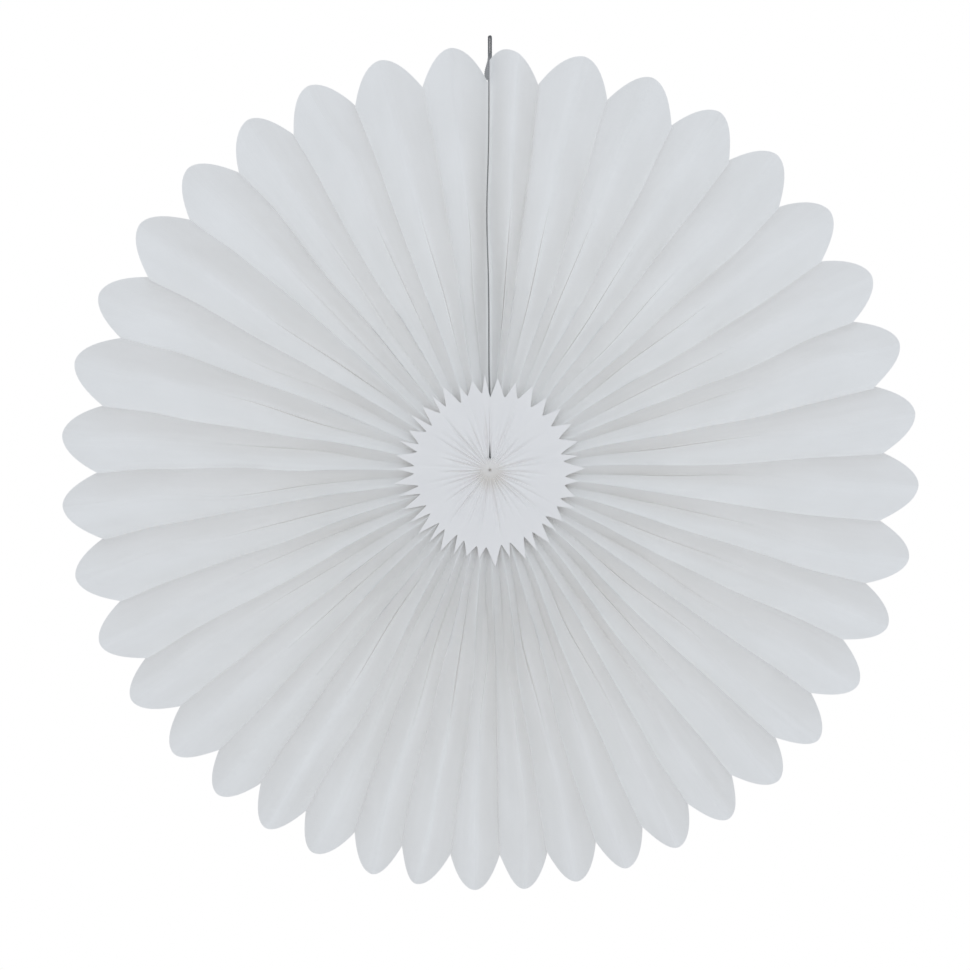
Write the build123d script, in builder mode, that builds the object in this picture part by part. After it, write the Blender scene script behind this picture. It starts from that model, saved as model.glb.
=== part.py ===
"""White paper fan rosette: a pleated petal fan, a small pointed fan on its middle and a hanging thread.

Millimetres. The rosette hangs upright with its front towards -Y. The origin is the top of the hanging loop.
"""

import os
from itertools import pairwise
from math import acos, asin, cos, degrees, hypot, pi, sin, sqrt

from build123d import *

# Petal fan: one strip pleated into panels and opened to a full circle
petal_count = 40
tip_radius = 225.0
petal_cut_depth = 20.2
petal_arch_length = 85.0
trimmed_end = 1.5
rim_pleat_depth = 6.0
petal_hole_radius = 4.0
petal_bends = (12.0, 45.0, 140.0)
petal_paper = 0.12
opening_swing = 0.157
opening_shoulder = -0.052
seam_petal_opening = 0.73

# Centre fan: a small strip with pointed ends, pressed nearly flat
point_count = 40
point_radius = 49.5
point_depth = 9.8
crease_depth = 2.0
crease_fade = 0.8
centre_hole_radius = 1.0
centre_paper = 0.06
slit_width = 1.1
slit_start = 4.8
slit_end = 14.5
closed_slit = 0.15
centre_seat = 0.05

# Thread: goes round the seam through the middle hole and ends in a knotted loop
thread_diameter = 1.1
thread_play = 0.05
thread_turn = 2.0
loop_forward = 1.2
loop_length = 13.2
strand_gap = 0.06
knot_length = 9.6
knot_width = 4.4
knot_taper = 1.6
knot_rise = 1.9

# Tape that joins the two end panels
tape_start = 30.0
tape_end = 110.0
tape_width = 4.0

sheet_radius = tip_radius + trimmed_end
cusp_radius = tip_radius - petal_cut_depth
notch_radius = point_radius - point_depth
seam_gap = thread_diameter + 2 * thread_play
hang_height = cusp_radius + knot_rise + knot_length + loop_length
middle = (0, loop_forward, -hang_height)
fan_plane = Plane(origin=middle, x_dir=(1, 0, 0), z_dir=(0, -1, 0))
seam_plane = Plane(origin=middle, x_dir=(0, 0, 1), z_dir=(1, 0, 0))


def fold_shares(openings):
    """Where each fold stands on the way round, from 0 to 1: two folds to an opening, the first at the seam."""
    shares = [0.0]
    for opening in openings:
        step = opening / sum(openings) / 2
        shares.append(shares[-1] + step)
        shares.append(shares[-1] + step)
    return shares


def fold_turn(radius, gap):
    """Half the angle of the seam gap at a radius, and the turn that the gap leaves for the folds."""
    half_gap = asin(gap / (2 * radius))
    return half_gap, 2 * (pi - half_gap)


def flat(plane, *corners):
    """A flat facet through corners given across, up and forward on the plane."""
    return Face(Wire.make_polygon([plane.from_local_coords(corner) for corner in corners]))


def strip(plane, ridge, trough):
    """Facets between two fold lines. A panel twists along its length, so each stretch bends along a diagonal."""
    facets = []
    for (ridge_in, ridge_out), (trough_in, trough_out) in zip(pairwise(ridge), pairwise(trough)):
        facets.append(flat(plane, ridge_in, ridge_out, trough_out))
        facets.append(flat(plane, ridge_in, trough_out, trough_in))
    return facets


def end_panel(ridge_front, ridge_back, trough_back, paper):
    """The loose panel that stands in the seam: its outer edge, the inside of its fold and its inner edge."""
    inside = []
    for corner, trough in zip(ridge_back, trough_back):
        reach = hypot(trough.X - corner.X, trough.Y - corner.Y)
        inside.append(corner + (trough - corner) * (paper / reach))
    outer_edge = [Vector(corner.X, corner.Y, trough.Z) for corner, trough in zip(ridge_front, trough_back)]
    inner_edge = [Vector(corner.X, corner.Y, trough.Z) for corner, trough in zip(inside, trough_back)]
    return outer_edge, inside, inner_edge


def fold_lines(shares, stations, pleat_depth, paper, behind):
    """Front and back corner lines of every fold: ridges at even folds, troughs at odd ones.

    A station gives the ridge radius, the trough radius and the seam gap. The share of the pleat depth that
    lies behind the plane is given by behind.
    """
    front = []
    back = []
    for fold, share in enumerate(shares):
        before = max(fold - 1, 0)
        after = min(fold + 1, len(shares) - 1)
        pitch = (shares[after] - shares[before]) / (after - before)
        front_line = []
        back_line = []
        for ridge_radius, trough_radius, gap in stations:
            radius = trough_radius if fold % 2 else ridge_radius
            start, turn = fold_turn(radius, gap)
            chord = 2 * radius * sin(pitch * turn / 2)
            depth = pleat_depth(chord, radius)
            slope = hypot(chord, depth)
            mitre = paper * slope / (chord + paper * depth / slope)
            forward = mitre - behind * depth if fold % 2 else (1 - behind) * depth
            across = radius * sin(start + share * turn)
            up = radius * cos(start + share * turn)
            front_line.append(Vector(across, up, forward))
            back_line.append(Vector(across, up, forward - mitre))
        front.append(front_line)
        back.append(back_line)
    return front, back


def pleated_sheet(plane, shares, stations, pleat_depth, paper, behind):
    """One folded sheet as a solid, with a loose panel at each end."""
    front, back = fold_lines(shares, stations, pleat_depth, paper, behind)
    first_edge, back[0], first_inner = end_panel(front[0], back[0], back[1], paper)
    last_edge, back[-1], last_inner = end_panel(front[-1], back[-1], back[-2], paper)
    front = [first_edge, *front, last_edge]
    back = [first_inner, *back, last_inner]
    facets = strip(plane, front[0], back[0]) + strip(plane, front[-1], back[-1])
    for place in range(len(front) - 1):
        ridge, trough = (place, place + 1) if place % 2 else (place + 1, place)
        facets += strip(plane, front[ridge], front[trough])
        facets += strip(plane, back[ridge], back[trough])
        for end in (0, -1):
            facets.append(
                flat(plane, front[ridge][end], front[trough][end], back[trough][end], back[ridge][end])
            )
    return Solid(Shell(facets))


def petal_depth(chord, radius):
    """A panel keeps its width, so a pleat is as deep as its opening leaves it."""
    return sqrt(panel_width**2 - chord**2)


def crease(chord, radius):
    """The small fan's creases run out towards its points."""
    return crease_depth * (1 - crease_fade * radius / point_radius)


openings = []
for petal in range(petal_count):
    way_round = 2 * pi * (petal + 0.5) / petal_count
    openings.append(1 + opening_swing * cos(way_round) + opening_shoulder * cos(2 * way_round))
openings[0] *= seam_petal_opening
petal_shares = fold_shares(openings)
widest_chord = 2 * sheet_radius * sin(pi * max(openings) / sum(openings) / 2)
panel_width = hypot(widest_chord, rim_pleat_depth)

# Petal fan: pleated sheet, its outer ends cut to round petals
with BuildPart() as petal_fan:
    add(
        pleated_sheet(
            fan_plane,
            petal_shares,
            [(radius, radius, seam_gap) for radius in (petal_hole_radius, *petal_bends, sheet_radius)],
            petal_depth,
            petal_paper,
            0.5,
        )
    )
    with BuildSketch(fan_plane):
        with BuildLine():
            tip_start, tip_turn = fold_turn(tip_radius, seam_gap)
            cusp_start, cusp_turn = fold_turn(cusp_radius, seam_gap)
            for trough in range(1, len(petal_shares), 2):
                tip_angle = tip_start + petal_shares[trough] * tip_turn
                rounding = tip_radius - petal_arch_length
                for side in (-1, 1):
                    cusp_angle = cusp_start + petal_shares[trough + side] * cusp_turn
                    along = cusp_radius * cos(cusp_angle - tip_angle) - rounding
                    aside = cusp_radius * sin(abs(cusp_angle - tip_angle))
                    EllipticalCenterArc(
                        (rounding * sin(tip_angle), rounding * cos(tip_angle)),
                        petal_arch_length,
                        aside / sqrt(1 - (along / petal_arch_length) ** 2),
                        start_angle=0,
                        arc_size=-side * degrees(acos(along / petal_arch_length)),
                        rotation=90 - degrees(tip_angle),
                    )
            cusp_up = cusp_radius * cos(cusp_start)
            Line((-seam_gap / 2, cusp_up), (seam_gap / 2, cusp_up))
        make_face()
    extrude(amount=panel_width, both=True, mode=Mode.INTERSECT)
petal_fan.part.label = "petal_fan"

# Centre fan: pointed sheet that lies on the front ridges of the petal fan
with BuildPart() as centre_fan:
    add(
        pleated_sheet(
            fan_plane.offset(panel_width / 2 + centre_seat),
            fold_shares([1.0] * point_count),
            [
                (centre_hole_radius, centre_hole_radius, closed_slit),
                (slit_start, slit_start, slit_width),
                (slit_end, slit_end, closed_slit),
                (notch_radius, point_radius, closed_slit),
            ],
            crease,
            centre_paper,
            0.0,
        )
    )
centre_fan.part.label = "centre_fan"

# Thread: once round the seam, a knot over the rim and the loop that the rosette hangs by
with BuildPart() as hanging_thread:
    with Locations((0, 0, -loop_length - knot_length / 2)):
        Cylinder(knot_width / 2, knot_length)
    chamfer(hanging_thread.edges().filter_by(GeomType.CIRCLE), knot_taper)
    thread_middle = petal_hole_radius - thread_diameter
    strand_end = hang_height - loop_length - 3 * knot_length / 4
    strand_offset = (thread_diameter + strand_gap) / 2
    middle_offset = panel_width / 2 - thread_diameter
    with BuildLine(seam_plane) as round_seam:
        FilletPolyline(
            (strand_end, loop_forward + strand_offset),
            (thread_middle, middle_offset),
            (thread_middle, -middle_offset),
            (strand_end, loop_forward - strand_offset),
            radius=thread_turn,
        )
    with BuildSketch(Plane(round_seam.line @ 0, z_dir=round_seam.line % 0)):
        Circle(thread_diameter / 2)
    sweep(path=round_seam.line)
    with BuildLine(Plane.XZ) as loop:
        Line((-strand_offset, -loop_length - knot_length / 4), (-strand_offset, -strand_offset))
        CenterArc((0, -strand_offset), strand_offset, 180, -180)
        Line((strand_offset, -strand_offset), (strand_offset, -loop_length - knot_length / 4))
    with BuildSketch(Plane(loop.line @ 0, z_dir=loop.line % 0)):
        Circle(thread_diameter / 2)
    sweep(path=loop.line)
hanging_thread.part.label = "hanging_thread"

# Tape: fills the seam between the end panels, inside the thread's turn
with BuildPart() as closing_tape:
    with BuildSketch(seam_plane):
        with Locations(((tape_start + tape_end) / 2, 0)):
            Rectangle(tape_end - tape_start, tape_width)
    extrude(amount=seam_gap / 2, both=True)
closing_tape.part.label = "closing_tape"

os.makedirs("parts", exist_ok=True)
export_step(petal_fan.part, "parts/petal_fan.step")
export_step(centre_fan.part, "parts/centre_fan.step")
export_step(hanging_thread.part, "parts/hanging_thread.step")
export_step(closing_tape.part, "parts/closing_tape.step")
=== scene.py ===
"""White paper fan rosette: tissue petals, a small pointed fan on their middle and a twisted hanging thread.

Metres. The rosette hangs upright with its front towards -Y. The origin is the top of the hanging loop.
A zone is where an effect starts and where it is complete, as shares of the fan's radius.
"""

from math import cos, hypot, pi, radians, sin

import bpy
import numpy as np
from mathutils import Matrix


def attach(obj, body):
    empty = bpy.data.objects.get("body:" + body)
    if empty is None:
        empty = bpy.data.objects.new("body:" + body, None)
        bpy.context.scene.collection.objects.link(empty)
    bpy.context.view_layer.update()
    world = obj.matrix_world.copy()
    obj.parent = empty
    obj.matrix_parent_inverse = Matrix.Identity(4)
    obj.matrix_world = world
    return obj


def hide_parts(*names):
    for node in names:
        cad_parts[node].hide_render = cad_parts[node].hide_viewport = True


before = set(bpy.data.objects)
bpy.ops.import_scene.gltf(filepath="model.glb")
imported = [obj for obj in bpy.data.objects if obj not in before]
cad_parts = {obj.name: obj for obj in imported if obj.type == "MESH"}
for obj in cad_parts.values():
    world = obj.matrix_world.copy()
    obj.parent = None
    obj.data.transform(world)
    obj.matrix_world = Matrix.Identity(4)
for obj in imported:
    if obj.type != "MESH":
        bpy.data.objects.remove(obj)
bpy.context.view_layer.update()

MM = 0.001

# Petal fan: a strip of panels, its outer end cut to round petals
petal_count = 40
tip_radius = 225.0 * MM
cusp_radius = 204.8 * MM
petal_arch_length = 85.0 * MM
trimmed_end = 1.5 * MM
rim_pleat_depth = 6.0 * MM
petal_hole_radius = 4.0 * MM
petal_paper = 0.12 * MM
opening_swing = 0.157
opening_shoulder = -0.052
petal_strip = (1.7, 0.22)
petal_columns = 13
petal_rows = 42
petal_row_power = 1.15

# Petals differ in length round the fan, and the one beside the seam is narrow, skewed and short
stretch_all_round = 0.5 * MM
stretch_to_top = 0.8 * MM
stretch_to_sides = 1.8 * MM
seam_petal_opening = 0.73
seam_petal_tip = 0.32
seam_petal_fall = 0.75
seam_petal_short = 1.2 * MM
seam_petal_cusp_shift = -1.5 * MM

# Petal folds wander, stand unevenly and bow aside on the left
wander_zone = (0.15, 0.45)
wander_values = 6
ridge_wander = 0.6 * MM
trough_wander = 1.2 * MM
fold_unevenness = 0.5 * MM
left_bow = 2.0 * MM
left_bow_end_zone = (0.78, 0.92)

# Petal valleys are round, and pressed together near the middle
valley_gap = 0.065 * MM
valley_slack = 0.26
rim_slack = 0.08
rim_slack_zone = (0.5, 0.8)
slack_range = (0.6, 1.4)
bulge = 0.5
bulge_end_zone = (0.3, 0.6)
pressed_opening = 0.15
opening_zone = (0.16, 0.66)
crisp_valley_end = 0.66

# Petal ridges hang over on one side with a short drop, and lean out over it
side_bias = 0.45
side_spread = 0.3
side_turn = (-0.2, 0.2)
overhang_at_rim = (0.15, 0.95)
rim_zone = (0.72, 0.9)
overhang_values = 7
drop_range = (3.5 * MM, 7.0 * MM)
drop_zone = (0.2, 0.45)
most_drop = 0.55
drop_spread = (0.05, 0.13)
lip_step = 1.8 * MM
most_lip_step = 0.3
lean_range = (0.8 * MM, 2.4 * MM)
lean_zone = (0.25, 0.5)
lean_below = 0.12 * MM
lean_above = 5.0 * MM
crisp_ridge_start = 0.4

# Handling creases on the petals: long faint ones, and a short second fold beside some ridges
long_crease_count = 2
long_crease_spot = (0.25, 0.75)
long_crease_slant = 0.35
long_crease_centre = (0.35, 0.85)
long_crease_length = (0.15, 0.4)
long_crease_size = 0.035
long_crease_width = 0.22
second_fold_spot = (0.1, 0.24)
second_fold_centre = (0.4, 0.75)
second_fold_length = (0.12, 0.3)
second_fold_size = (-0.9 * MM, 0.5 * MM)
second_fold_share = 0.6
second_fold_width = 0.09

# Seam: its front edges bow aside, close over the thread and roll off into the gap
seam_gap = 1.2 * MM
seam_shift = 0.55 * MM
seam_shift_start = (30 * MM, 60 * MM)
seam_bend = 1.1 * MM
seam_bend_radius = 135 * MM
seam_bend_spread = 28 * MM
seam_close = 0.2 * MM
seam_close_zone = (0.12, 0.28)
seam_roll = 3.2 * MM
seam_roll_zone = (0.35, 0.55)
seam_roll_width = 1.4 * MM
loose_roll_share = 0.3
loose_bow_end = (0.28, 0.38)

# Centre fan: a small strip with pointed ends, cut by hand and pressed nearly flat
point_count = 40
even_points = 6
wide_point = 1.2
narrow_point = 0.72
point_spread = (0.9, 1.1)
point_radius = 49.5 * MM
notch_radius = 39.7 * MM
tip_spread = (-2.6 * MM, 1.8 * MM)
notch_spread = (-1.6 * MM, 1.4 * MM)
point_hollow = 1.35
point_lean = 0.5 * MM
point_lean_zone = (0.72, 1.0)
point_waver = 0.14 * MM
point_waver_zone = (0.2, 0.5)
point_waver_values = 5
centre_hole_radius = 0.05 * MM
centre_paper = 0.06 * MM
centre_seat = 0.05 * MM
centre_strip = (0.32, 0.048)
centre_columns = 6
centre_rows = 44
centre_row_power = 1.3

# Slit of the centre fan, in which the thread shows
slit_width = 1.1 * MM
slit_start = 6.4 * MM
slit_end = 15.5 * MM
slit_head = 0.3 * MM
slit_turn = 0.6
widest_slit = 0.9
closed_slit = 0.03 * MM

# Creases of the centre fan, which fade on their way out to the notches
crease_depth = 2.0 * MM
crease_fade = 0.8
crease_end_range = (26 * MM, 42 * MM)
crease_size_range = (0.2, 0.85)
crease_start = (1 * MM, 6 * MM)
crease_fade_zone = (0.45, 1.0)
crease_width = 1.2 * MM
widest_crease = 0.9
steepest_crease = 1.2
centre_crown = 1.5
dimple_depth = 2.2 * MM
dimple_radius = 0.75 * MM

# Thread
thread_diameter = 1.1 * MM
loop_forward = 1.2 * MM
loop_length = 13.2 * MM
loop_bend = 1.6 * MM
knot_length = 9.6 * MM
knot_width = 4.4 * MM
knot_whipping = 4.5 * MM
knot_top_taper = (-0.3, 0.75)
knot_bottom_taper = (-0.35, 0.25)
knot_drift = 0.9 * MM
knot_drift_zone = (0.2, 0.8)
winding_pitch = 0.9
winding_points = 28
hang_height = 229.5 * MM
strand_offset = 0.58 * MM
strand_tuck = 0.25
leg_step = 0.08
leg_points = 12
leg_turn = 0.965
middle_turn = 3.0 * MM
ply_count = 3
ply_pitch = 4.2 * MM
ply_points = 9
ply_offset = 0.22 * thread_diameter
ply_radius = 0.3 * thread_diameter

# Colours
petal_white = (0.99, 0.986, 0.979)
petal_shade = (0.97, 0.965, 0.956)
centre_white = (0.968, 0.95, 0.938)
centre_shade = (0.948, 0.93, 0.918)
# Painted shade: the warm grey of the centre fan's middle, where its tight creases lie in shade
centre_painted_shade = (0.875, 0.838, 0.798)
thread_dark = (0.13, 0.13, 0.135)
thread_light = (0.2, 0.2, 0.205)
# Painted light: the paler grey of the thread from the knot down, lifting the shade it lies in between the
# end petals
thread_painted_light = (0.42, 0.42, 0.425)
tape_dark = (0.62, 0.62, 0.6)
tape_light = (0.72, 0.72, 0.7)
floor_grey = (0.8, 0.8, 0.8)

# Tissue: the size of its streaks, clouds and fibres along and across the strip, and how it takes light
streak_size = (2.2 * MM, 60 * MM)
cloud_size = (14 * MM, 30 * MM)
fibre_size = (0.7 * MM, 2.4 * MM)
streak_share = 0.6
fibre_share = 0.25
tone_low = 0.55
tissue_bump = 0.6
petal_relief = 0.22 * MM
centre_relief = 0.05 * MM
petal_translucence = 0.56
centre_translucence = 0.16
# Painted shade: the tissue turns grey round a spot a little below the centre fan's middle, ragged along the
# streaks, where the tight creases lie in shade
painted_shade_spot = (0.5 * MM, -12 * MM, -hang_height - 3.2 * MM)
painted_shade_ragged = 9 * MM
painted_shade_start = 6 * MM
painted_shade_end = 16 * MM

# Grain of the thread and the tape. The thread is dark at the loop and painted paler from the knot down, as
# painted light that lifts the shade of the knot and the seam strands between the end petals
thread_fibre_scale = 2600.0
thread_bump = 0.5
thread_relief = 0.08 * MM
thread_dark_end = -8 * MM
thread_painted_light_start = -14 * MM
tape_grain_scale = 900.0

# Room and camera
floor_radius = 2.5
floor_height = -2.0
room_colour = (0.93, 0.957, 1.0)
room_strength = 0.63
camera_distance = 3.0
view_width = 513.0 * MM
view_aside = -2.6 * MM
view_below = 7.9 * MM

# How near a fold a vertex counts as on it, and how far from it as clear of it, in panel widths
fold_tolerance = 1e-4
clear_of_fold = 0.005

chance = np.random.RandomState(40)


def deselect_all():
    """Nothing selected, so that the next operator acts on its own piece alone."""
    if bpy.context.object and bpy.context.object.mode != "OBJECT":
        bpy.ops.object.mode_set(mode="OBJECT")
    bpy.ops.object.select_all(action="DESELECT")


def fan_point(across, up, forward):
    """Places given across, up and forward from the fan's middle, in the rosette's own frame."""
    return np.stack([across, loop_forward - forward, up - hang_height], axis=-1)


def smooth_step(low, high, value):
    """0 below low, 1 above high and a smooth rise between them."""
    way = np.clip((value - low) / (high - low), 0, 1)
    return way * way * (3 - 2 * way)


def wavering(table, row, way):
    """A smooth random value along each row of a table, for a way from 0 to 1."""
    spot = np.clip(way, 0, 1) * (table.shape[1] - 1.001)
    left = spot.astype(int)
    blend = smooth_step(0, 1, spot - left)
    return table[row, left] * (1 - blend) + table[row, left + 1] * blend


def flat_strip(name, panels, columns, rows):
    """A flat strip of paper, divided into panels, and each vertex's place round and out along it."""
    deselect_all()
    bpy.ops.mesh.primitive_grid_add(
        x_subdivisions=panels * columns, y_subdivisions=rows, size=1.0, calc_uvs=True
    )
    strip = bpy.context.object
    strip.name = name
    strip.data.name = name
    strip.data.uv_layers[0].name = "strip"
    places = np.empty(len(strip.data.vertices) * 3)
    strip.data.vertices.foreach_get("co", places)
    places = places.reshape(-1, 3) + 0.5
    return strip, places[:, 0] * panels, places[:, 1]


def fold_strip(strip, places, paper, crisp):
    """Moves the strip's vertices to their folded places and gives the sheet its thickness.

    A fold is a sharp line where its vertices are crisp. The cut edge of the paper is always sharp.
    """
    vertex_count = len(strip.data.vertices)
    corner_count = len(strip.data.loops)
    strip.data.vertices.foreach_set("co", places.astype(np.float32).ravel())
    strip.data.update()
    deselect_all()
    bpy.context.view_layer.objects.active = strip
    strip.select_set(True)
    thickness = strip.modifiers.new("paper", "SOLIDIFY")
    thickness.thickness = paper
    thickness.offset = 0.0
    bpy.ops.object.modifier_apply(modifier=thickness.name)
    bpy.ops.object.shade_smooth()
    mesh = strip.data
    ends = np.empty(len(mesh.edges) * 2, dtype=np.int32)
    mesh.edges.foreach_get("vertices", ends)
    sharp = crisp[ends.reshape(-1, 2) % vertex_count].all(axis=1)
    face_edges = np.empty(len(mesh.loops), dtype=np.int32)
    mesh.loops.foreach_get("edge_index", face_edges)
    sharp[face_edges[2 * corner_count :]] = True
    mesh.edges.foreach_set("use_edge_sharp", sharp)
    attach(strip, "root")


def fold_shares(openings):
    """Where each fold stands on the way round, from 0 to 1: two to an opening, the first at the seam."""
    steps = np.repeat(np.array(openings) / sum(openings) / 2, 2)
    return np.concatenate([[0.0], np.cumsum(steps)])


def panel_ends(place, fold_count):
    """For each vertex: its panel's two folds, counted from the seam, and how far it is from the first.

    The vertices stand closer together near the folds.
    """
    panel = np.minimum((place + fold_tolerance).astype(int), fold_count)
    return panel - 1, panel, (1 - np.cos(pi * (place - panel))) / 2


def lies_on_fold(place):
    """Whether a vertex lies on a fold of its strip."""
    return np.abs(place - np.round(place)) < fold_tolerance


def away_from_seam(fold, fold_count):
    """Whether a fold is any other than the two that close the seam."""
    return fold % (fold_count - 1) > 0


def seam_bow(radius):
    """How far the seam's front edges, and the thread behind them, bend away from a straight line."""
    bend = np.exp(-(((radius - seam_bend_radius) / seam_bend_spread) ** 2))
    return -seam_shift * smooth_step(*seam_shift_start, radius) - seam_bend * bend


def petal_openings():
    """How far each petal is opened: wide at the top and sides, narrow at the bottom."""
    openings = []
    for petal in range(petal_count):
        way_round = 2 * pi * (petal + 0.5) / petal_count
        openings.append(1 + opening_swing * cos(way_round) + opening_shoulder * cos(2 * way_round))
    openings[0] *= seam_petal_opening
    return openings


def petal_azimuth(shares, fold, radius):
    """The angle round the fan at which a petal fold stands at a radius."""
    half_gap = np.arcsin(seam_gap / (2 * radius))
    return half_gap + shares[np.clip(fold, 0, len(shares) - 1)] * 2 * (pi - half_gap)


def petal_end_radius(shares, first, second, trough, ridge, along, loose):
    """Where the paper ends: at a petal arch between two cusps, or straight on the loose end panels."""
    start_angle = petal_azimuth(shares, first, cusp_radius)
    angle = start_angle + along * (petal_azimuth(shares, second, cusp_radius) - start_angle)
    seam_petal = (first == 0) | (first == 1)
    cusp_angle = petal_azimuth(shares, np.where(seam_petal, 2, ridge), cusp_radius)
    trough_angle = petal_azimuth(shares, trough, cusp_radius)
    tip_angle = np.where(seam_petal, seam_petal_tip * cusp_angle, trough_angle)
    away = np.abs(angle - tip_angle)
    half_petal = np.where(loose, 1.0, np.abs(cusp_angle - tip_angle))
    half_petal *= np.where(seam_petal & (angle < tip_angle), seam_petal_fall, 1.0)
    rounding = tip_radius - petal_arch_length
    cusp_along = cusp_radius * np.cos(half_petal) - rounding
    arch_width = cusp_radius * np.sin(half_petal) / np.sqrt(1 - (cusp_along / petal_arch_length) ** 2)
    square = (np.cos(away) / petal_arch_length) ** 2 + (np.sin(away) / arch_width) ** 2
    linear = np.cos(away) * rounding / petal_arch_length**2
    constant = (rounding / petal_arch_length) ** 2 - 1
    end_radius = (linear + np.sqrt(linear**2 - square * constant)) / square
    stretch = stretch_all_round + stretch_to_top * np.cos(tip_angle)
    stretch -= stretch_to_sides * np.cos(2 * tip_angle)
    shortening = seam_petal_short * np.clip(1 - (away / half_petal) ** 2, 0, 1)
    stretch -= np.where(seam_petal, shortening, 0.0)
    end_radius *= 1 + stretch / tip_radius
    return np.where(loose, cusp_radius, end_radius)


def valley_height(from_trough, reach, slack_share):
    """How high the tissue stands on its way from a trough, 0, to a ridge, 1.

    It rounds off in the valleys. Near the middle the panels press together there and bulge forward.
    """
    slack = (valley_slack + rim_slack * smooth_step(*rim_slack_zone, reach)) * slack_share
    height = (np.sqrt(from_trough**2 + slack**2) - slack) / (np.sqrt(1 + slack**2) - slack)
    fullness = 1 + bulge * (1 - smooth_step(*bulge_end_zone, reach))
    height = 1 - (1 - height) ** fullness
    open_share = pressed_opening + (1 - pressed_opening) * smooth_step(*opening_zone, reach)
    return np.where(from_trough > clear_of_fold, 1 - open_share * (1 - height), 0.0)


def crease_shape(distance, width, reach, centre, length):
    """1 at the middle of a crease, falling to 0 beside it and at its ends."""
    near = np.clip(1 - np.abs(distance) / width, 0, 1)
    return near * np.clip(1 - ((reach - centre) / length) ** 2, 0, 1)


def handling_creases(panel, panels, along, from_trough, reach, chord, loose):
    """How far handling creases raise the petals: long faint ones, and a second fold beside some ridges."""

    def drawn(low, high):
        return chance.uniform(low, high, panels)[panel]

    raised = np.zeros(len(panel))
    for _ in range(long_crease_count):
        spot = drawn(*long_crease_spot)
        slant = chance.normal(0, long_crease_slant, panels)[panel]
        centre = drawn(*long_crease_centre)
        length = drawn(*long_crease_length)
        size = chance.normal(0, long_crease_size, panels)[panel]
        distance = along - spot - slant * (reach - centre)
        raised += size * chord * crease_shape(distance, long_crease_width, reach, centre, length)
    spot = drawn(*second_fold_spot)
    centre = drawn(*second_fold_centre)
    length = drawn(*second_fold_length)
    size = drawn(*second_fold_size) * (drawn(0, 1) < second_fold_share)
    second_fold = size * crease_shape(1 - from_trough - spot, second_fold_width, reach, centre, length)
    return raised + np.where(loose, 0.0, second_fold)


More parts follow.
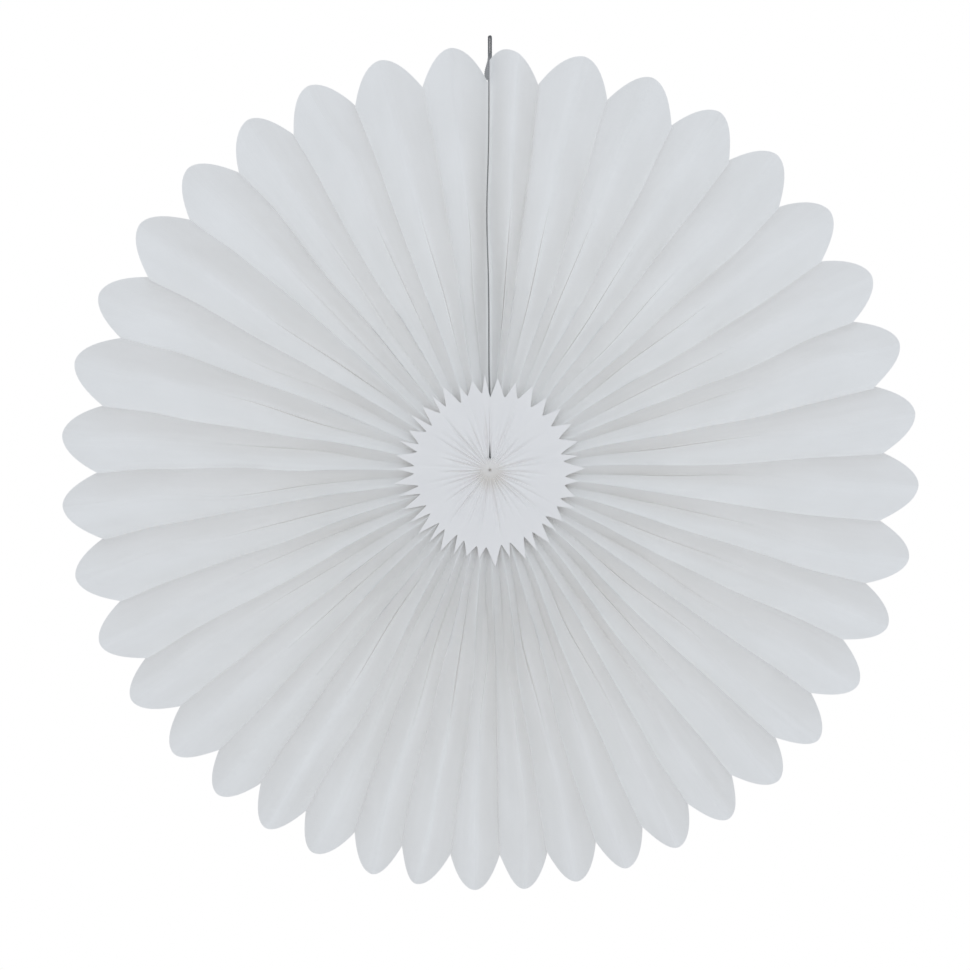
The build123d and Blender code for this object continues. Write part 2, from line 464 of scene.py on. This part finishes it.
def make_petal_fan():
    """The big fan: a tissue strip in deep pleats, its outer end cut to round petals."""
    openings = petal_openings()
    shares = fold_shares(openings)
    fold_count = len(shares)
    sheet_radius = tip_radius + trimmed_end
    widest_chord = 2 * sheet_radius * sin(pi * max(openings) / sum(openings) / 2)
    panel_width = hypot(widest_chord, rim_pleat_depth)
    pitches = np.gradient(shares)

    strip, place, out = flat_strip("tissue_petals", fold_count + 1, petal_columns, petal_rows)
    first, second, along = panel_ends(place, fold_count)
    loose = (first < 0) | (second >= fold_count)
    trough_first = first % 2 == 1
    trough = np.where(trough_first, first, second)
    ridge = np.where(trough_first, second, first)
    end_radius = petal_end_radius(shares, first, second, trough, ridge, along, loose)
    radius = petal_hole_radius + (end_radius - petal_hole_radius) * out**petal_row_power
    reach = radius / tip_radius

    # Every fold wavers a little along its length and stands a little higher or lower than its neighbours
    settle = smooth_step(*wander_zone, reach)
    aside_table = chance.normal(0, ridge_wander, (fold_count + 2, wander_values))
    aside_table[1::2] *= trough_wander / ridge_wander
    aside_table[2, wander_values // 2 :] = seam_petal_cusp_shift
    height_table = chance.normal(0, fold_unevenness, (fold_count + 2, wander_values))

    def corner(fold):
        inner = np.clip(fold, 0, fold_count - 1)
        chord = 2 * radius * np.sin(pitches[inner] * pi)
        depth = np.sqrt(np.maximum(panel_width**2 - chord**2, 0))
        front = (inner % 2 == 0) & (fold == inner)
        height = np.where(front, depth / 2, -depth / 2)
        height += wavering(height_table, inner, reach) * settle
        turn = petal_azimuth(shares, fold, radius)
        aside = wavering(aside_table, inner, reach) * settle
        left_side = np.clip(-np.sin(turn), 0, 1)
        aside += left_bow * left_side * settle * (1 - smooth_step(*left_bow_end_zone, reach))
        turn += aside / radius * away_from_seam(inner, fold_count)
        return np.stack([radius * np.sin(turn), radius * np.cos(turn), height], axis=-1)

    first_corner = corner(first)
    across_panel = corner(second) - first_corner
    pleat_depth = np.abs(across_panel[:, 2])
    chord = np.hypot(across_panel[:, 0], across_panel[:, 1])

    # The first column beside a trough stands a little away from it, as one wall of the pressed valley
    from_trough = np.where(trough_first, along, 1 - along)
    first_column = (1 - cos(pi / petal_columns)) / 2
    wall = np.isclose(from_trough, first_column, atol=clear_of_fold) & ~loose
    wall_share = np.maximum(from_trough, valley_gap / np.maximum(chord, MM))
    from_trough = np.where(wall, wall_share, from_trough)
    along = np.where(trough_first, from_trough, 1 - from_trough)
    slack_table = chance.uniform(*slack_range, fold_count + 2)
    height = valley_height(from_trough, reach, slack_table[np.clip(trough, 0, fold_count)])

    # Each ridge hangs over a little under its own weight, so the panel below it starts with a short drop
    ridge = np.clip(ridge, 0, fold_count - 1)
    ridge_bias = chance.normal(side_bias, side_spread, fold_count)[ridge]
    ridge_side = np.sin(petal_azimuth(shares, ridge, cusp_radius)) + ridge_bias
    below = smooth_step(*side_turn, np.where(ridge == first, ridge_side, -ridge_side))
    below *= away_from_seam(ridge, fold_count)
    rim_share = chance.uniform(*overhang_at_rim, fold_count)[ridge]
    fade = 1 - (1 - rim_share) * smooth_step(*rim_zone, reach)
    drop_table = chance.uniform(*drop_range, (fold_count, overhang_values))
    drop_size = smooth_step(*drop_zone, reach) * fade * below
    share = np.clip(wavering(drop_table, ridge, reach) * drop_size / pleat_depth, 0, most_drop)
    spread = chance.uniform(*drop_spread, fold_count)[ridge]
    height = height * (1 - share) + share * np.exp(-(1 - from_trough) / spread)
    step = np.clip(lip_step / pleat_depth, 0, most_lip_step) * drop_size
    height = np.where(from_trough < 1 - clear_of_fold, height * (1 - step), height)
    height = np.where(loose, from_trough, height)
    lift = np.where(trough_first, height, 1 - height)

    # The ridge's edge leans out over that drop
    from_ridge = 1 - from_trough
    lean_table = chance.uniform(*lean_range, (fold_count, overhang_values))
    lean = wavering(lean_table, ridge, reach) * smooth_step(*lean_zone, reach) * fade
    lean *= away_from_seam(ridge, fold_count) * (2 * smooth_step(*side_turn, ridge_side) - 1)
    lean_under = np.exp(-from_ridge * chord / lean_below)
    lean_over = np.exp(-from_ridge * chord / lean_above)
    lean *= below * lean_under + (1 - below) * lean_over
    ridge_turn = petal_azimuth(shares, ridge, radius)

    across = first_corner[:, 0] + across_panel[:, 0] * along + lean * np.cos(ridge_turn)
    up = first_corner[:, 1] + across_panel[:, 1] * along - lean * np.sin(ridge_turn)
    forward = first_corner[:, 2] + across_panel[:, 2] * lift
    forward += handling_creases(first + 1, fold_count + 1, along, from_trough, reach, chord, loose)

    # At the seam the front edges lean together over the thread, and the first petal rolls off into the gap
    by_seam = (first <= 0) | (second >= fold_count - 1)
    near = np.where(loose, 1 - smooth_step(*loose_bow_end, from_ridge), from_trough**2)
    closing = np.where(first <= 0, -seam_close, seam_close) * np.where(loose, from_trough**4, 1.0)
    closing *= smooth_step(*seam_close_zone, reach)
    across += np.where(by_seam, (seam_bow(radius) + closing) * near, 0.0)
    loose_roll = np.clip(1 - from_ridge / loose_roll_share, 0, 1)
    roll = np.where(loose, loose_roll, np.exp(-from_ridge * chord / seam_roll_width))
    forward -= np.where(first <= 0, seam_roll * smooth_step(*seam_roll_zone, reach) * roll, 0.0)

    folded = lies_on_fold(place)
    on_ridge = folded & (np.round(place).astype(int) % 2 == 1)
    crisp = np.where(on_ridge, reach > crisp_ridge_start, (wall | folded) & (reach < crisp_valley_end))
    fold_strip(strip, fan_point(across, up, forward), petal_paper, crisp)
    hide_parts("petal_fan")
    return strip, panel_width


def make_centre_fan(panel_width):
    """The small fan: a pressed strip with soft creases and pointed ends, lying on the petals' ridges."""
    paired_points = (point_count - even_points) // 2
    openings = np.array([wide_point] * even_points + [wide_point, narrow_point] * paired_points)
    openings *= chance.uniform(*point_spread, point_count)
    shares = fold_shares(openings)
    fold_count = len(shares)
    strip, place, out = flat_strip("tissue_points", fold_count + 1, centre_columns, centre_rows)
    first, second, along = panel_ends(place, fold_count)
    before_first = first < 0
    after_last = second >= fold_count
    tip = np.clip(np.where(first % 2 == 1, first, second), 0, fold_count - 1)
    notch = np.clip(np.where(first % 2 == 1, second, first), 0, fold_count - 1)
    from_notch = np.where(first % 2 == 0, along, 1 - along)

    # Points cut by hand: their length, the depth of the notches and their lean differ a little
    tip_table = point_radius + chance.uniform(*tip_spread, fold_count)
    notch_table = notch_radius + chance.uniform(*notch_spread, fold_count)
    lean_table = chance.normal(0, point_lean, fold_count)
    waver_table = chance.normal(0, point_waver, (fold_count, point_waver_values))
    end_radius = notch_table[notch] + (tip_table[tip] - notch_table[notch]) * from_notch**point_hollow
    end_radius = np.where(before_first | after_last, notch_table[notch], end_radius)
    radius = centre_hole_radius + (end_radius - centre_hole_radius) * out**centre_row_power
    reach = radius / point_radius

    gap = np.interp(
        radius,
        [0, slit_start - slit_head, slit_start, slit_end],
        [closed_slit, closed_slit, slit_width, closed_slit],
    )
    half_gap = np.arcsin(np.minimum(gap / (2 * radius), widest_slit))

    def azimuth(fold):
        inner = np.clip(fold, 0, fold_count - 1)
        turn = shares[inner] * 2 * pi
        after_slit = np.clip(1 - turn / slit_turn, 0, 1)
        before_slit = np.clip(1 - (2 * pi - turn) / slit_turn, 0, 1)
        aside = wavering(waver_table, inner, reach) * smooth_step(*point_waver_zone, reach)
        aside += lean_table[inner] * smooth_step(*point_lean_zone, reach) * (inner % 2)
        turn = turn + half_gap * (after_slit - before_slit)
        return turn + aside / radius * away_from_seam(inner, fold_count)

    # A soft crease runs out from the middle to each notch and fades on its way
    crease_end = chance.uniform(*crease_end_range, fold_count)[notch]
    crease_size = crease_depth * chance.uniform(*crease_size_range, fold_count)[notch]
    panel_half = pi * radius / point_count
    window = smooth_step(*crease_start, radius) * (1 - smooth_step(*crease_fade_zone, radius / crease_end))
    width_share = np.minimum(widest_crease, crease_width / panel_half)
    valley = np.minimum(crease_size, steepest_crease * panel_half) * window
    valley *= smooth_step(0, 1, 1 - from_notch / width_share)
    crown = crease_depth * centre_crown * (1 - crease_fade * reach)
    dimple = dimple_depth * np.clip(1 - radius / dimple_radius, 0, 1)
    forward = crown - valley - dimple
    forward *= np.where(before_first, along, np.where(after_last, 1 - along, 1.0))
    forward += panel_width / 2 + centre_seat
    start_turn = azimuth(first)
    end_turn = azimuth(second)
    turn = start_turn + (end_turn - start_turn) * along
    turn = np.where(before_first, end_turn, np.where(after_last, start_turn, turn))
    places = fan_point(radius * np.sin(turn), radius * np.cos(turn), forward)
    crisp = lies_on_fold(place) & ((place < 1.5) | (place > fold_count - 0.5))
    fold_strip(strip, places, centre_paper, crisp)
    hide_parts("centre_fan")
    return strip


def drawn_line(points):
    """Points along a smooth line through the turns of a route."""
    curve = bpy.data.curves.new("route", "CURVE")
    curve.dimensions = "3D"
    spline = curve.splines.new("NURBS")
    spline.points.add(len(points) - 1)
    for spot, point in zip(spline.points, points):
        spot.co = (*point, 1.0)
    spline.order_u = 3
    spline.use_endpoint_u = True
    spline.resolution_u = 24
    holder = bpy.data.objects.new("route", curve)
    bpy.context.scene.collection.objects.link(holder)
    mesh = bpy.data.meshes.new_from_object(holder)
    line = np.array([vertex.co for vertex in mesh.vertices])
    bpy.data.objects.remove(holder)
    bpy.data.curves.remove(curve)
    bpy.data.meshes.remove(mesh)
    return line


def even_line(line, step):
    """The same line with its points a step apart, and how far along it each one lies."""
    lengths = np.concatenate([[0], np.cumsum(np.linalg.norm(np.diff(line, axis=0), axis=1))])
    spots = np.linspace(0, lengths[-1], max(int(lengths[-1] / step), 8))
    return np.stack([np.interp(spots, lengths, line[:, axis]) for axis in range(3)], axis=-1), spots


def twisted_plies(line, find_side):
    """Plies of a thread wound round a line. The side is a direction across the line at each point."""
    line, spots = even_line(line, ply_pitch / ply_points)
    along = np.gradient(line, axis=0)
    along /= np.linalg.norm(along, axis=1)[:, None]
    side = find_side(line)
    other = np.cross(along, side)
    plies = []
    for ply in range(ply_count):
        turn = 2 * pi * (spots / ply_pitch + ply / ply_count)
        plies.append(line + ply_offset * (np.cos(turn)[:, None] * side + np.sin(turn)[:, None] * other))
    return plies


def seam_route(panel_width):
    """The thread's way down the front of the seam, through the middle hole and up the back."""
    middle_up = petal_hole_radius - thread_diameter
    middle_forward = panel_width / 2 - thread_diameter
    strand_end = hang_height - loop_length - (1 - strand_tuck) * knot_length
    run = strand_end - middle_up
    ways = [leg_step * point for point in range(leg_points)] + [leg_turn, 1.0]
    route = []
    for front in (1, -1):
        leg = []
        for way in ways:
            up = strand_end - run * way
            start = loop_forward + front * strand_offset
            aside = seam_bow(up) if front == 1 else 0.0
            leg.append((aside, up, start + (front * middle_forward - start) * way))
        leg.append((0.0, middle_up, front * (middle_forward - middle_turn)))
        route += leg if front == 1 else leg[::-1]
    return [fan_point(*point) for point in route]


def loop_route():
    """The hanging loop: up out of the knot and down again."""
    low_end = -loop_length - strand_tuck * knot_length
    loop = []
    for z in (low_end, 0.66 * low_end, 0.33 * low_end, -loop_bend, 0.0):
        loop.append((-strand_offset, 0.0, z))
    return loop + [(-x, y, z) for x, y, z in reversed(loop)]


def knot_plies():
    """The knot: the doubled thread wound round itself, drifting aside on its way down."""
    knot_start = loop_length - knot_whipping
    knot_run = loop_length + knot_length - knot_start
    knot_top = knot_start + thread_diameter / 2
    turns = knot_run / (winding_pitch * thread_diameter)
    spin = np.linspace(0, 2 * pi * turns, int(winding_points * turns))
    way = np.linspace(0, 1, len(spin))
    taper = np.minimum(smooth_step(*knot_top_taper, way), smooth_step(*knot_bottom_taper, 1 - way))
    winding = (knot_width - thread_diameter) / 2 * taper
    drift = -knot_drift * smooth_step(*knot_drift_zone, way)
    height = -knot_top - way * knot_run
    knot = np.stack([drift + winding * np.cos(spin), winding * np.sin(spin), height], axis=-1)

    def outward(line):
        away = line * np.array([1.0, 1.0, 0.0])
        away[:, 0] += knot_drift * smooth_step(*knot_drift_zone, (-line[:, 2] - knot_top) / knot_run)
        return away / np.linalg.norm(away, axis=1)[:, None]

    return twisted_plies(knot, outward)


def make_thread(panel_width):
    """The thread: once round the seam, a wound knot over the rim and the loop that the rosette hangs by."""

    def to_the_right(line):
        return np.tile([1.0, 0.0, 0.0], (len(line), 1))

    def to_the_back(line):
        return np.tile([0.0, 1.0, 0.0], (len(line), 1))

    plies = twisted_plies(drawn_line(seam_route(panel_width)), to_the_right)
    plies += twisted_plies(drawn_line(loop_route()), to_the_back)
    plies += knot_plies()
    curve = bpy.data.curves.new("twisted_thread", "CURVE")
    curve.dimensions = "3D"
    for ply in plies:
        spline = curve.splines.new("POLY")
        spline.points.add(len(ply) - 1)
        spline.points.foreach_set("co", np.column_stack([ply, np.ones(len(ply))]).ravel())
    curve.bevel_depth = ply_radius
    curve.bevel_resolution = 1
    curve.use_fill_caps = True
    thread = bpy.data.objects.new("twisted_thread", curve)
    bpy.context.scene.collection.objects.link(thread)
    deselect_all()
    bpy.context.view_layer.objects.active = thread
    thread.select_set(True)
    bpy.ops.object.convert(target="MESH")
    thread = bpy.context.object
    bpy.ops.object.shade_smooth()
    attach(thread, "root")
    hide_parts("hanging_thread")
    return thread


def new_material(name, roughness):
    """A material, its nodes, its links and its shader."""
    material = bpy.data.materials.new(name)
    material.use_nodes = True
    nodes = material.node_tree.nodes
    shader = nodes["Principled BSDF"]
    shader.inputs["Roughness"].default_value = roughness
    return material, nodes, material.node_tree.links, shader


def maths(nodes, links, operation, *values):
    """A maths node that takes numbers and other nodes' outputs."""
    node = nodes.new("ShaderNodeMath")
    node.operation = operation
    for socket, value in zip(node.inputs, values):
        if isinstance(value, float):
            socket.default_value = value
        else:
            links.new(value, socket)
    return node


def noise_pattern(nodes, links, place, scale, detail):
    """Noise over the places that it is given."""
    noise = nodes.new("ShaderNodeTexNoise")
    noise.inputs["Scale"].default_value = scale
    noise.inputs["Detail"].default_value = detail
    links.new(place, noise.inputs["Vector"])
    return noise.outputs["Fac"]


def strip_pattern(nodes, links, strip_size, grain_size, detail):
    """Noise over a flat strip, with grains of a size along and across it."""
    uv = nodes.new("ShaderNodeUVMap")
    uv.uv_map = "strip"
    mapping = nodes.new("ShaderNodeMapping")
    grains_along = strip_size[0] / grain_size[0]
    grains_across = strip_size[1] / grain_size[1]
    mapping.inputs["Scale"].default_value = (grains_along, grains_across, 1.0)
    links.new(uv.outputs["UV"], mapping.inputs["Vector"])
    return noise_pattern(nodes, links, mapping.outputs["Vector"], 1.0, detail)


def two_tones(nodes, links, pattern, dark, light, low, high):
    """A colour from dark to light as a pattern's value goes from low to high."""
    ramp = nodes.new("ShaderNodeValToRGB")
    ramp.color_ramp.elements[0].position = low
    ramp.color_ramp.elements[0].color = (*dark, 1.0)
    ramp.color_ramp.elements[1].position = high
    ramp.color_ramp.elements[1].color = (*light, 1.0)
    links.new(pattern, ramp.inputs["Fac"])
    return ramp.outputs["Color"]


def relief(nodes, links, pattern, strength, depth):
    """Fine relief from a pattern."""
    bump = nodes.new("ShaderNodeBump")
    bump.inputs["Strength"].default_value = strength
    bump.inputs["Distance"].default_value = depth
    links.new(pattern, bump.inputs["Height"])
    return bump.outputs["Normal"]


def tissue(name, light, dark, painted_middle_shade, strip_size, relief_depth, translucence):
    """White tissue: soft long streaks, cloudy tone and fine fibres, with painted shade that greys it round
    the middle where the strip is gathered into tight creases.
    """
    material, nodes, links, shader = new_material(name, 0.88)
    shader.inputs["Specular IOR Level"].default_value = 0.18
    streaks = strip_pattern(nodes, links, strip_size, streak_size, 3.0)
    clouds = strip_pattern(nodes, links, strip_size, cloud_size, 2.0)
    fibres = strip_pattern(nodes, links, strip_size, fibre_size, 2.0)

    tone = maths(nodes, links, "MULTIPLY_ADD", streaks, streak_share, clouds)
    white = two_tones(nodes, links, tone.outputs["Value"], dark, light, tone_low, 1.0)
    # Painted shade: near the middle the colour turns to the middle's shade colour, with a ragged edge along
    # the streaks
    place = nodes.new("ShaderNodeTexCoord")
    away = nodes.new("ShaderNodeVectorMath")
    away.operation = "DISTANCE"
    links.new(place.outputs["Object"], away.inputs[0])
    away.inputs[1].default_value = painted_shade_spot
    ragged = maths(nodes, links, "MULTIPLY_ADD", streaks, painted_shade_ragged, away.outputs["Value"])
    outer = nodes.new("ShaderNodeMapRange")
    outer.inputs["From Min"].default_value = painted_shade_start
    outer.inputs["From Max"].default_value = painted_shade_end
    outer.interpolation_type = "SMOOTHSTEP"
    links.new(ragged.outputs["Value"], outer.inputs["Value"])
    colour = nodes.new("ShaderNodeMix")
    colour.data_type = "RGBA"
    colour.inputs["A"].default_value = (*painted_middle_shade, 1.0)
    links.new(outer.outputs["Result"], colour.inputs["Factor"])
    links.new(white, colour.inputs["B"])
    links.new(colour.outputs["Result"], shader.inputs["Base Color"])

    grain = maths(nodes, links, "MULTIPLY_ADD", fibres, fibre_share, streaks)
    normal = relief(nodes, links, grain.outputs["Value"], tissue_bump, relief_depth)
    links.new(normal, shader.inputs["Normal"])
    glow = nodes.new("ShaderNodeBsdfTranslucent")
    links.new(colour.outputs["Result"], glow.inputs["Color"])
    links.new(normal, glow.inputs["Normal"])
    thin = nodes.new("ShaderNodeMixShader")
    thin.inputs["Fac"].default_value = translucence
    links.new(shader.outputs["BSDF"], thin.inputs[1])
    links.new(glow.outputs["BSDF"], thin.inputs[2])
    links.new(thin.outputs["Shader"], nodes["Material Output"].inputs["Surface"])
    return material


def grey_thread():
    """Grey spun thread with fine fibres, dark at the loop and painted paler from the knot down, as painted
    light over the shade it lies in.
    """
    material, nodes, links, shader = new_material("grey_thread", 0.85)
    shader.inputs["Specular IOR Level"].default_value = 0.2
    place = nodes.new("ShaderNodeTexCoord")
    split = nodes.new("ShaderNodeSeparateXYZ")
    links.new(place.outputs["Object"], split.inputs["Vector"])
    # Painted light: the thread turns paler below the knot's top, where it lies in shade between the end
    # petals
    lower = nodes.new("ShaderNodeMapRange")
    lower.inputs["From Min"].default_value = thread_dark_end
    lower.inputs["From Max"].default_value = thread_painted_light_start
    links.new(split.outputs["Z"], lower.inputs["Value"])
    fibres = noise_pattern(nodes, links, place.outputs["Object"], thread_fibre_scale, 4.0)
    grey = two_tones(nodes, links, fibres, thread_dark, thread_light, 0.3, 0.75)
    colour = nodes.new("ShaderNodeMix")
    colour.data_type = "RGBA"
    colour.inputs["B"].default_value = (*thread_painted_light, 1.0)
    links.new(lower.outputs["Result"], colour.inputs["Factor"])
    links.new(grey, colour.inputs["A"])
    links.new(colour.outputs["Result"], shader.inputs["Base Color"])
    links.new(relief(nodes, links, fibres, thread_bump, thread_relief), shader.inputs["Normal"])
    return material


def matte_tape():
    """Matte white tape with a faint grain."""
    material, nodes, links, shader = new_material("matte_tape", 0.55)
    place = nodes.new("ShaderNodeTexCoord")
    grain = noise_pattern(nodes, links, place.outputs["Object"], tape_grain_scale, 2.0)
    colour = two_tones(nodes, links, grain, tape_dark, tape_light, 0.0, 1.0)
    links.new(colour, shader.inputs["Base Color"])
    return material


def dress(piece, material):
    """Gives a piece one material."""
    piece.data.materials.clear()
    piece.data.materials.append(material)


def make_floor():
    """A plain pale floor, well below the hanging rosette."""
    deselect_all()
    bpy.ops.mesh.primitive_circle_add(
        vertices=96, radius=floor_radius, fill_type="NGON", location=(0, 0, floor_height)
    )
    floor = bpy.context.object
    floor.name = "floor"
    bpy.ops.object.transform_apply(location=True, rotation=True, scale=True)
    material, _, _, shader = new_material("pale_floor", 0.9)
    shader.inputs["Base Color"].default_value = (*floor_grey, 1.0)
    dress(floor, material)


def softbox(name, size, energy, colour, place, tilt):
    """A large soft lamp, tilted up from facing straight down."""
    lamp = bpy.data.lights.new(name, "AREA")
    lamp.shape = "RECTANGLE"
    lamp.size, lamp.size_y = size
    lamp.energy = energy
    lamp.color = colour
    holder = bpy.data.objects.new(name, lamp)
    holder.location = place
    holder.rotation_euler = (radians(tilt), 0.0, 0.0)
    bpy.context.scene.collection.objects.link(holder)


def light_room():
    """Soft room light, white where the camera looks past the rosette, and two large cool lamps."""
    world = bpy.data.worlds.new("room")
    bpy.context.scene.world = world
    world.use_nodes = True
    nodes = world.node_tree.nodes
    links = world.node_tree.links
    room = nodes["Background"]
    room.inputs["Color"].default_value = (*room_colour, 1.0)
    room.inputs["Strength"].default_value = room_strength
    white = nodes.new("ShaderNodeBackground")
    white.inputs["Color"].default_value = (1.0, 1.0, 1.0, 1.0)
    white.inputs["Strength"].default_value = 1.0

    # Light that shines through tissue is both transmitted and diffuse, and takes the room's colour
    path = nodes.new("ShaderNodeLightPath").outputs
    clear = maths(nodes, links, "SUBTRACT", path["Is Transmission Ray"], path["Is Diffuse Ray"])
    clear.use_clamp = True
    mirrored = maths(nodes, links, "MAXIMUM", path["Is Glossy Ray"], clear.outputs["Value"])
    seen = maths(nodes, links, "MAXIMUM", path["Is Camera Ray"], mirrored.outputs["Value"])
    mix = nodes.new("ShaderNodeMixShader")
    links.new(seen.outputs["Value"], mix.inputs["Fac"])
    links.new(room.outputs["Background"], mix.inputs[1])
    links.new(white.outputs["Background"], mix.inputs[2])
    links.new(mix.outputs["Shader"], nodes["World Output"].inputs["Surface"])

    softbox(
        "top_softbox",
        size=(2.4, 1.6),
        energy=11.0,
        colour=(0.68, 0.84, 1.0),
        place=(0.6, -2.0, 1.5),
        tilt=49,
    )
    softbox(
        "front_softbox",
        size=(3.0, 3.0),
        energy=30.0,
        colour=(0.88, 0.94, 1.0),
        place=(0.0, -4.2, 0.3),
        tilt=84,
    )


def place_camera():
    """Level view from the front through a long lens, the rosette a little above the frame's middle."""
    lens = bpy.data.cameras.new("front_view")
    lens.sensor_width = 36.0
    lens.lens = lens.sensor_width * camera_distance / view_width
    lens.clip_end = 100.0
    camera = bpy.data.objects.new("front_view", lens)
    camera.location = (view_aside, -camera_distance, -hang_height - view_below)
    camera.rotation_euler = (radians(90), 0.0, 0.0)
    bpy.context.scene.collection.objects.link(camera)
    bpy.context.scene.camera = camera


petals, panel_width = make_petal_fan()
points = make_centre_fan(panel_width)
thread = make_thread(panel_width)
petal_tissue = tissue(
    "petal_tissue",
    petal_white,
    petal_shade,
    petal_white,
    petal_strip,
    petal_relief,
    petal_translucence,
)
centre_tissue = tissue(
    "centre_tissue",
    centre_white,
    centre_shade,
    centre_painted_shade,
    centre_strip,
    centre_relief,
    centre_translucence,
)
dress(petals, petal_tissue)
dress(points, centre_tissue)
dress(thread, grey_thread())
dress(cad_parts["closing_tape"], matte_tape())
make_floor()
light_room()
place_camera()

scene = bpy.context.scene
scene.view_settings.view_transform = "Standard"
scene.cycles.max_bounces = 16
scene.cycles.diffuse_bounces = 8
scene.cycles.transmission_bounces = 16
